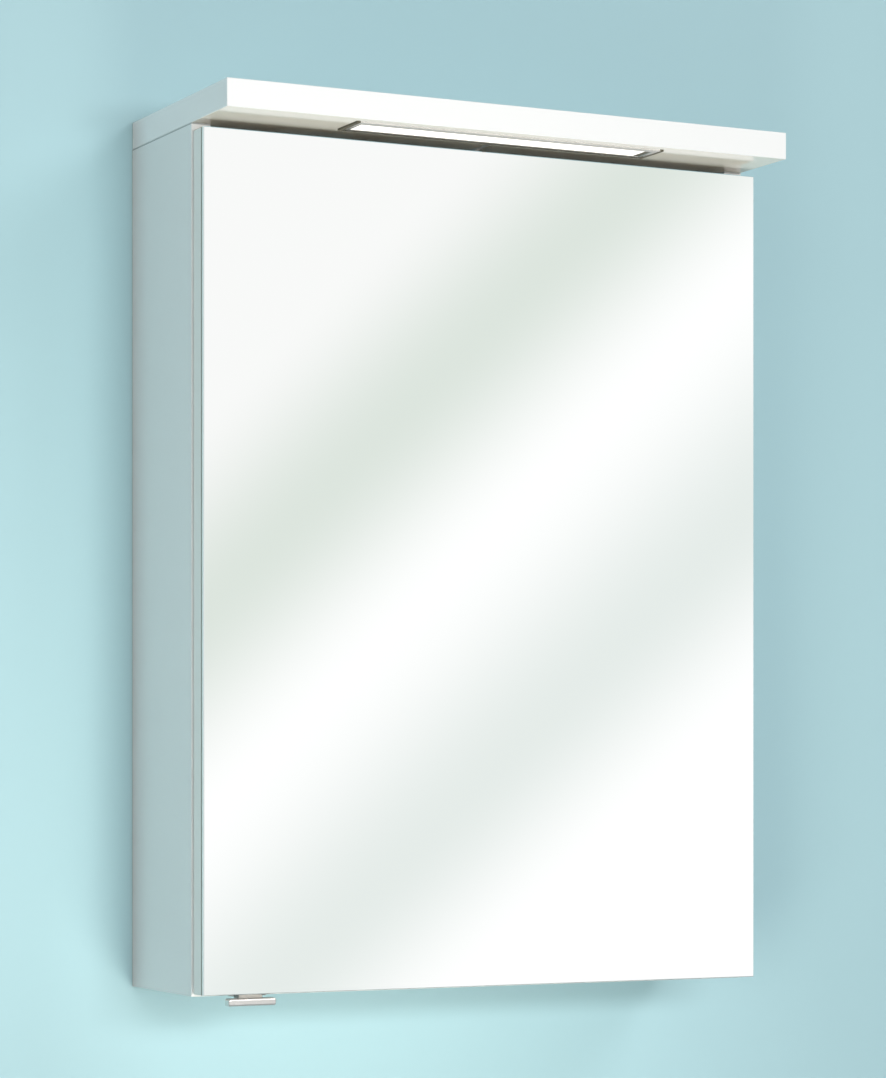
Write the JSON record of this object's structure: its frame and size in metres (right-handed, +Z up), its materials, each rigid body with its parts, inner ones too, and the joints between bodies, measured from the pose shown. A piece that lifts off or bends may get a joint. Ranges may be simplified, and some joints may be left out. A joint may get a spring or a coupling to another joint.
{
  "type": "mirror cabinet",
  "caption": "Wall-hung bathroom cabinet with a mirrored door on concealed hinges, glass shelves and a lamp set under a projecting cornice.",
  "frame": {"origin": "on the wall plane, at mid width, at the underside of the bottom board", "axes": "+Z up, +Y into the wall, the mirror faces -Y, +X to the right as one looks at the mirror"},
  "size_m": [0.5, 0.2, 0.7103],
  "materials": {
    "white_board": "white melamine-faced board, satin",
    "back_sheet": "white lacquered fibreboard sheet, matt",
    "cornice_gloss": "white high-gloss foil on board",
    "zinc_fitting": "zinc-plated steel or die-cast zinc",
    "nickel_fitting": "nickel-plated steel",
    "screw_steel": "bright zinc-plated steel",
    "beech_dowel": "plain beech",
    "shelf_glass": "clear float glass, ground edges",
    "mirror_face": "silvered float glass",
    "adhesive_film": "grey adhesive film",
    "white_plastic": "white plastic, fine matt",
    "face_plastic": "white plastic, gloss",
    "box_plastic": "light grey plastic, matt",
    "driver_case": "white plastic case, matt",
    "terminal_plastic": "natural polyamide",
    "grommet_rubber": "black rubber",
    "bumper_rubber": "clear soft plastic",
    "lead_sheath": "white flexible sheath",
    "lamp_metal": "satin chrome-look aluminium",
    "lamp_cover": "frosted translucent acrylic",
    "led_board": "white circuit board",
    "contact_metal": "bright brass",
    "handle_metal": "satin chrome-plated metal"
  },
  "bodies": {
    "cabinet": {"back_panel": "back_sheet", "bottom_board": "white_board", "cam_bolts": "zinc_fitting", "cam_locks": "zinc_fitting", "cornice_board": "cornice_gloss", "driver_lead": "lead_sheath", "hanger_adjusters": "screw_steel", "hanger_screws": "screw_steel", "hinge_arm_screws": "screw_steel", "hinge_plate_screws": "screw_steel", "junction_box": "box_plastic", "junction_box_lid": "box_plastic", "lamp_diffuser": "lamp_cover", "lamp_driver": "driver_case", "lamp_frame": "lamp_metal", "lamp_lead": "lead_sheath", "lamp_screws": "screw_steel", "led_strip": "led_board", "left_hanger_housing": "white_plastic", "left_side_panel": "white_board", "lower_arm_pins": "nickel_fitting", "lower_glass_shelf": "shelf_glass", "lower_hinge_arm": "nickel_fitting", "lower_hinge_plate": "nickel_fitting", "mains_grommet": "grommet_rubber", "rear_rail": "white_board", "right_hanger_housing": "white_plastic", "right_side_panel": "white_board", "shelf_pins": "nickel_fitting", "socket_earth_clips": "contact_metal", "socket_insert": "face_plastic", "switch_box_face": "face_plastic", "switch_box_housing": "white_plastic", "switch_box_screws": "screw_steel", "switch_lead": "lead_sheath", "terminal_block": "terminal_plastic", "top_board": "white_board", "upper_arm_pins": "nickel_fitting", "upper_glass_shelf": "shelf_glass", "upper_hinge_arm": "nickel_fitting", "upper_hinge_plate": "nickel_fitting", "wood_dowels": "beech_dowel"},
    "door": {"door_board": "white_board", "door_bumpers": "bumper_rubber", "door_handle": "handle_metal", "handle_screws": "screw_steel", "hinge_cup_screws": "screw_steel", "lower_cup_pins": "nickel_fitting", "lower_hinge_cup": "nickel_fitting", "mirror_adhesive": "adhesive_film", "mirror_glass": "mirror_face", "upper_cup_pins": "nickel_fitting", "upper_hinge_cup": "nickel_fitting"},
    "upper_outer_link_body": {"upper_outer_link": "nickel_fitting"},
    "lower_outer_link_body": {"lower_outer_link": "nickel_fitting"},
    "upper_inner_link_body": {"upper_inner_link": "nickel_fitting"},
    "lower_inner_link_body": {"lower_inner_link": "nickel_fitting"},
    "left_hook": {"left_hanger_hook": "zinc_fitting"},
    "right_hook": {"right_hanger_hook": "zinc_fitting"},
    "rocker": {"rocker_switch": "face_plastic"}
  },
  "joints": [
    {"name": "upper_outer_link_turn", "type": "hinge", "parent": "cabinet", "child": "upper_outer_link_body", "pos_m": [0.2244, -0.1167, 0.554], "axis": [0, 0, 1], "range_deg": [-36.7, 0]},
    {"name": "lower_outer_link_turn", "type": "hinge", "parent": "cabinet", "child": "lower_outer_link_body", "pos_m": [0.2244, -0.1167, 0.097], "axis": [0, 0, 1], "range_deg": [-36.7, 0]},
    {"name": "door_swing", "type": "hinge", "parent": "upper_outer_link_body", "child": "door", "pos_m": [0.24, -0.135, 0.554], "axis": [0, 0, 1], "range_deg": [0, 131.57]},
    {"name": "upper_inner_link_turn", "type": "hinge", "parent": "cabinet", "child": "upper_inner_link_body", "pos_m": [0.2125, -0.1259, 0.554], "axis": [0, 0, 1], "range_deg": [-32.7, 0]},
    {"name": "lower_inner_link_turn", "type": "hinge", "parent": "cabinet", "child": "lower_inner_link_body", "pos_m": [0.2125, -0.1259, 0.097], "axis": [0, 0, 1], "range_deg": [-32.7, 0]},
    {"name": "rocker_press", "type": "hinge", "parent": "cabinet", "child": "rocker", "pos_m": [-0.182, -0.059, 0.603], "axis": [1, 0, 0], "range_deg": [-12, 0]},
    {"name": "left_hook_lift", "type": "slide", "parent": "cabinet", "child": "left_hook", "axis": [0, 0, 1], "range_m": [-0.004, 0.004]},
    {"name": "right_hook_lift", "type": "slide", "parent": "cabinet", "child": "right_hook", "axis": [0, 0, 1], "range_m": [-0.004, 0.004]}
  ],
  "couplings": [
    {"joint": "upper_outer_link_turn", "follows": "door_swing", "ratio": -0.27798},
    {"joint": "lower_outer_link_turn", "follows": "door_swing", "ratio": -0.27798},
    {"joint": "upper_inner_link_turn", "follows": "door_swing", "ratio": -0.24765},
    {"joint": "lower_inner_link_turn", "follows": "door_swing", "ratio": -0.24765}
  ]
}
